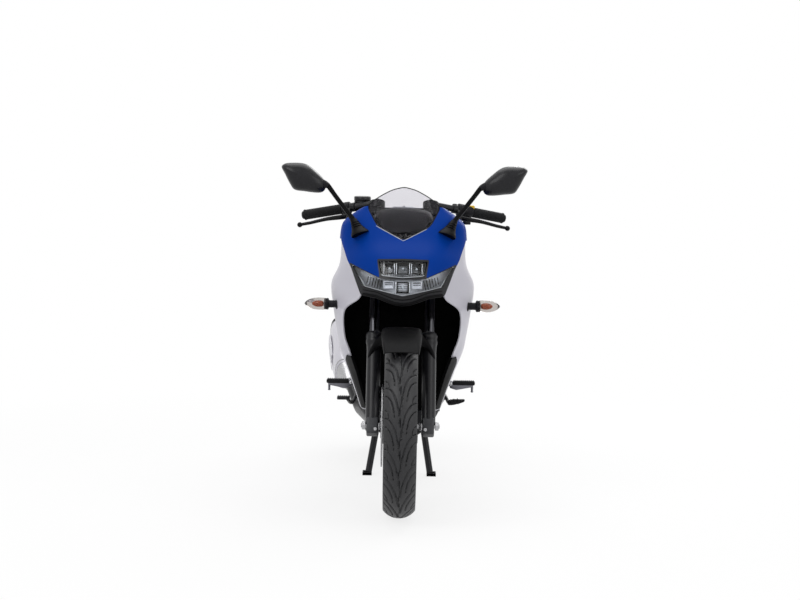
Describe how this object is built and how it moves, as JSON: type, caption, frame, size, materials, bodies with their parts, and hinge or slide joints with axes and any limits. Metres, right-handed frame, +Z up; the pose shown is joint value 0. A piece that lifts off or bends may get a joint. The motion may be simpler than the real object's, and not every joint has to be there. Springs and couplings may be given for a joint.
{
  "type": "sport bike",
  "caption": "Small-displacement sport bike with full fairing, clip-on bars, twin-unit headlamp and cast wheels, parked upright on its centre stand.",
  "frame": {"origin": "middle of the bounding box, on the ground between the wheels", "axes": "-Y is forward, +X is the rider's left, +Z is up"},
  "size_m": [0.812, 2.0249, 1.135],
  "materials": {
    "tyre_rubber": "matt with moulded tread",
    "black_alloy": "satin black coat",
    "bare_steel": "ground steel",
    "chrome_tube": "hard chrome",
    "black_frame": "gloss black coat",
    "engine_metal": "dark grey cast finish",
    "silver_metal": "satin silver",
    "blue_paint": "metallic blue lacquer",
    "white_paint": "pearl white lacquer",
    "black_plastic": "textured black moulding",
    "grip_rubber": "ribbed rubber",
    "seat_cover": "grained black cover",
    "clear_lens": "clear moulded lens",
    "red_lens": "red lens",
    "plate_white": "blank plate"
  },
  "bodies": {
    "chassis": {"chain": "bare_steel", "chin_trim": "black_plastic", "engine_covers": "engine_metal", "engine_crankcase": "engine_metal", "engine_cylinder": "engine_metal", "exhaust_pipe": "black_frame", "fairing_stay": "black_frame", "foot_controls": "black_frame", "footpegs": "black_alloy", "frame_main": "black_frame", "front_indicators": "clear_lens", "front_sprocket": "bare_steel", "fuel_tank": "blue_paint", "grab_rails": "black_frame", "headlight_lower": "clear_lens", "headlight_upper": "clear_lens", "inner_fairing": "black_plastic", "instrument_panel": "black_plastic", "lower_cowl": "black_plastic", "mirror_left": "black_plastic", "mirror_right": "black_plastic", "muffler": "silver_metal", "muffler_shield": "silver_metal", "number_plate": "plate_white", "pillion_seat": "seat_cover", "rear_axles": "bare_steel", "rear_fender": "black_plastic", "rear_hugger": "black_plastic", "rear_indicators": "clear_lens", "rear_shock": "black_frame", "rider_seat": "seat_cover", "side_covers": "black_plastic", "side_fairing_left": "white_paint", "side_fairing_right": "white_paint", "subframe": "black_frame", "swingarm": "black_frame", "tail_cowl": "white_paint", "tail_lamp": "red_lens", "upper_fairing": "blue_paint", "windscreen": "clear_lens"},
    "steering": {"fork_stanchions": "chrome_tube", "fork_sliders": "black_alloy", "triple_clamps": "black_alloy", "handlebars": "black_alloy", "grips": "grip_rubber", "bar_controls": "black_plastic", "brake_reservoir": "black_plastic", "front_mudguard": "black_plastic", "front_caliper": "black_alloy", "front_axle": "bare_steel"},
    "front_wheel": {"front_tyre": "tyre_rubber", "front_rim": "black_alloy", "front_disc": "bare_steel"},
    "rear_wheel": {"rear_tyre": "tyre_rubber", "rear_rim": "black_alloy", "rear_disc": "bare_steel", "rear_sprocket": "bare_steel"},
    "side_stand": {"side_stand": "black_frame"},
    "centre_stand": {"centre_stand": "black_frame"}
  },
  "joints": [
    {"name": "steering_turn", "type": "hinge", "parent": "chassis", "child": "steering", "pos_m": [0, -0.40387, 0.87845], "axis": [0, 0.4226, 0.9063], "range_deg": [-30, 30]},
    {"name": "front_wheel_spin", "type": "hinge", "parent": "steering", "child": "front_wheel", "pos_m": [0, -0.7165, 0.296], "axis": [1, 0, 0], "continuous": true},
    {"name": "rear_wheel_spin", "type": "hinge", "parent": "chassis", "child": "rear_wheel", "pos_m": [0, 0.6235, 0.312], "axis": [1, 0, 0], "continuous": true},
    {"name": "side_stand_fold", "type": "hinge", "parent": "chassis", "child": "side_stand", "pos_m": [0.118, 0.0195, 0.262], "axis": [-1, 0, 0], "range_deg": [0, 100]},
    {"name": "centre_stand_fold", "type": "hinge", "parent": "chassis", "child": "centre_stand", "pos_m": [0, 0.1135, 0.235], "axis": [1, 0, 0], "range_deg": [0, 85]}
  ]
}
